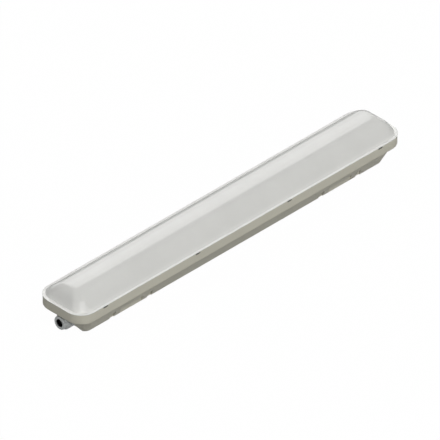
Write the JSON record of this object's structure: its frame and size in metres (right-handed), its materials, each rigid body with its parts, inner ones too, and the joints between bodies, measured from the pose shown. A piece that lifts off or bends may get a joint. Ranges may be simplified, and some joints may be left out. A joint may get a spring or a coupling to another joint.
{
  "type": "vapor tight light fixture",
  "caption": "Slim sealed linear light fixture: domed opal cover on a tapered grey housing, with LED boards on a gear tray, a driver, a terminal block and a cable gland at one end.",
  "frame": {"origin": "middle of the flat back, in the plane that meets the ceiling or wall", "axes": "+X along the fixture away from the cable gland, +Z out of the back towards the cover"},
  "size_m": [0.66, 0.0948, 0.068],
  "materials": {
    "housing_grey": "moulded, fine satin",
    "opal_cover": "opal, soft sheen",
    "sheet_white": "white powder coat",
    "case_white": "satin",
    "board_white": "white solder mask",
    "nylon_natural": "satin",
    "button_orange": "satin",
    "gland_grey": "satin",
    "rubber_black": "matt",
    "foam_grey": "matt foam",
    "zinc_steel": "bright zinc plate",
    "brass_tag": "plain",
    "lead_brown": "satin",
    "lead_blue": "satin",
    "lead_green": "satin",
    "lead_red": "satin",
    "lead_black": "satin"
  },
  "bodies": {
    "housing": {"board_link": "nylon_natural", "board_screw_1": "zinc_steel", "board_screw_2": "zinc_steel", "board_screw_3": "zinc_steel", "board_screw_4": "zinc_steel", "board_screw_5": "zinc_steel", "board_screw_6": "zinc_steel", "driver_base": "sheet_white", "driver_case": "case_white", "driver_screw_1": "zinc_steel", "driver_screw_2": "zinc_steel", "earth_nut": "zinc_steel", "earth_screw": "zinc_steel", "earth_tag": "brass_tag", "feed_connector": "nylon_natural", "gear_tray": "sheet_white", "gland_body": "gland_grey", "gland_insert": "rubber_black", "gland_lock_nut": "gland_grey", "gland_seal": "rubber_black", "housing": "housing_grey", "lead_earth": "lead_green", "lead_led_negative": "lead_black", "lead_led_positive": "lead_red", "lead_live": "lead_brown", "lead_neutral": "lead_blue", "led_board_a": "board_white", "led_board_b": "board_white", "rim_gasket": "foam_grey", "terminal_block": "nylon_natural", "terminal_screw_1": "zinc_steel", "terminal_screw_2": "zinc_steel", "tray_grommet": "rubber_black", "tray_screw_1": "zinc_steel", "tray_screw_2": "zinc_steel", "tray_screw_3": "zinc_steel", "tray_screw_4": "zinc_steel", "tray_screw_5": "zinc_steel", "tray_screw_6": "zinc_steel"},
    "cover": {"diffuser_cover": "opal_cover"},
    "gland_claw": {"gland_claw": "gland_grey"},
    "gland_nut": {"gland_dome_nut": "gland_grey"},
    "button_earth": {"button_earth": "button_orange"},
    "button_neutral": {"button_neutral": "button_orange"},
    "button_live": {"button_live": "button_orange"}
  },
  "joints": [
    {"name": "cover_lift", "type": "slide", "parent": "housing", "child": "cover", "axis": [0, 0, 1], "range_m": [0, 0.045]},
    {"name": "gland_nut_travel", "type": "slide", "parent": "housing", "child": "gland_claw", "axis": [-1, 0, 0], "range_m": [0, 0.0045]},
    {"name": "gland_nut_turn", "type": "hinge", "parent": "gland_claw", "child": "gland_nut", "pos_m": [-0.3177, 0, 0.0148], "axis": [-1, 0, 0], "range_deg": [0, 1080]},
    {"name": "press_earth", "type": "slide", "parent": "housing", "child": "button_earth", "axis": [0, 0, -1], "range_m": [0, 0.0015], "stiffness_N_per_m": 800, "springref_m": -0.002},
    {"name": "press_neutral", "type": "slide", "parent": "housing", "child": "button_neutral", "axis": [0, 0, -1], "range_m": [0, 0.0015], "stiffness_N_per_m": 800, "springref_m": -0.002},
    {"name": "press_live", "type": "slide", "parent": "housing", "child": "button_live", "axis": [0, 0, -1], "range_m": [0, 0.0015], "stiffness_N_per_m": 800, "springref_m": -0.002}
  ],
  "couplings": [
    {"joint": "gland_nut_travel", "follows": "gland_nut_turn", "m_per_rad": 0.00023873}
  ]
}
